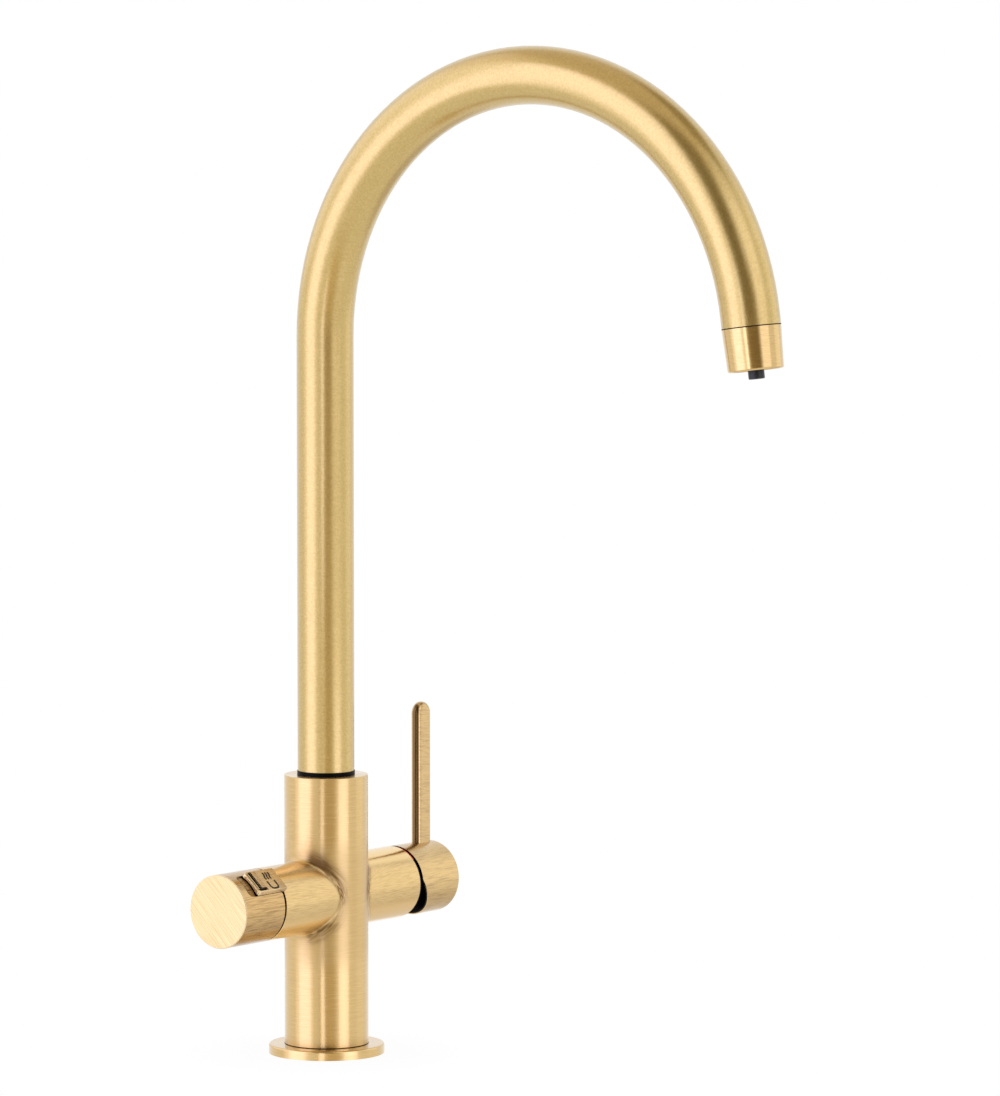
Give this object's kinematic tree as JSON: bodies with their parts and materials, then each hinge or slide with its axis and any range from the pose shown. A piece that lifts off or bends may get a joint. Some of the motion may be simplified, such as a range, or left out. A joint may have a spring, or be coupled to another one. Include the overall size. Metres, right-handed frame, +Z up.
{
  "type": "three-in-one kitchen tap",
  "caption": "Deck-mounted kitchen tap with a gooseneck swivel spout, a side lever mixer and a boiling water knob with a sliding child lock on opposite arms.",
  "frame": {"origin": "on the column axis, at the underside of the base flange where it meets the worktop", "axes": "+Z up along the column, spout towards -Y, mixer handle towards +X, boiling water knob towards -X"},
  "size_m": [0.1428, 0.2575, 0.4907],
  "materials": {
    "brushed_brass": "brushed, clear lacquered",
    "satin_brass": "fine satin, clear lacquered",
    "plain_brass": "turned, bare",
    "black_plastic": "moulded matt",
    "white_plastic": "moulded matt",
    "black_rubber": "matt",
    "clear_hose": "smooth silicone",
    "ceramic": "lapped ceramic",
    "steel": "machined",
    "red_mark": "gloss red",
    "blue_mark": "gloss blue"
  },
  "bodies": {
    "tap_body": {"body_casting": "brushed_brass", "base_flange": "brushed_brass", "base_seal": "black_rubber", "threaded_shank": "plain_brass", "deck_gasket": "black_rubber", "deck_washer": "steel", "back_nut": "plain_brass", "spout_stop_screw": "steel", "mixer_base_seal": "black_rubber", "mixer_cartridge_housing": "white_plastic", "mixer_fixed_disc": "ceramic", "mixer_retaining_nut": "plain_brass", "mixer_cover_ring": "black_plastic", "temperature_ring": "black_plastic", "hot_mark": "red_mark", "cold_mark": "blue_mark", "boil_valve_body": "plain_brass", "boil_valve_seal": "black_rubber", "boil_fixed_disc": "ceramic", "lock_ring": "black_plastic"},
    "spout": {"spout_tube": "satin_brass", "spout_spigot": "plain_brass", "spout_seals": "black_rubber", "swivel_slip_ring": "black_plastic", "hot_inner_tube": "clear_hose", "hot_tube_seal": "black_rubber", "nozzle_adapter": "plain_brass", "nozzle_washer": "black_rubber", "nozzle_housing": "satin_brass", "aerator_insert": "black_plastic", "centre_nozzle": "black_plastic"},
    "mixer_turn": {"mixer_rotor": "white_plastic", "mixer_pivot_pin": "steel"},
    "mixer_slide": {"mixer_slider": "white_plastic", "mixer_moving_disc": "ceramic"},
    "mixer_handle": {"handle_cap": "brushed_brass", "lever_bar": "brushed_brass", "mixer_stem": "plain_brass", "handle_grub_screw": "steel"},
    "boil_knob": {"boil_knob_shell": "brushed_brass", "boil_spindle": "plain_brass", "boil_turning_disc": "ceramic", "spindle_seal": "black_rubber", "knob_grub_screw": "steel", "lock_spring": "steel"},
    "button": {"lock_button": "brushed_brass"}
  },
  "joints": [
    {"name": "spout_swivel", "type": "hinge", "parent": "tap_body", "child": "spout", "pos_m": [0, 0, 0.1185], "axis": [0, 0, 1], "range_deg": [-90, 90]},
    {"name": "mixer_temperature", "type": "hinge", "parent": "tap_body", "child": "mixer_turn", "pos_m": [0.0327, 0, 0.0677], "axis": [1, 0, 0], "range_deg": [-45, 45]},
    {"name": "mixer_flow", "type": "hinge", "parent": "mixer_turn", "child": "mixer_handle", "pos_m": [0.0327, 0, 0.0677], "axis": [0, 1, 0], "range_deg": [0, 22]},
    {"name": "mixer_disc_slide", "type": "slide", "parent": "mixer_turn", "child": "mixer_slide", "axis": [0, 0, 1], "range_m": [0, 0.0023]},
    {"name": "boil_turn", "type": "hinge", "parent": "tap_body", "child": "boil_knob", "pos_m": [-0.045, 0, 0.0677], "axis": [-1, 0, 0], "range_deg": [0, 90]},
    {"name": "lock_slide", "type": "slide", "parent": "boil_knob", "child": "button", "axis": [-1, 0, 0], "range_m": [0, 0.002], "stiffness_N_per_m": 300, "springref_m": -0.003, "deforming": ["lock_spring"]}
  ],
  "couplings": [
    {"joint": "mixer_disc_slide", "follows": "mixer_flow", "m_per_rad": 0.005756}
  ]
}
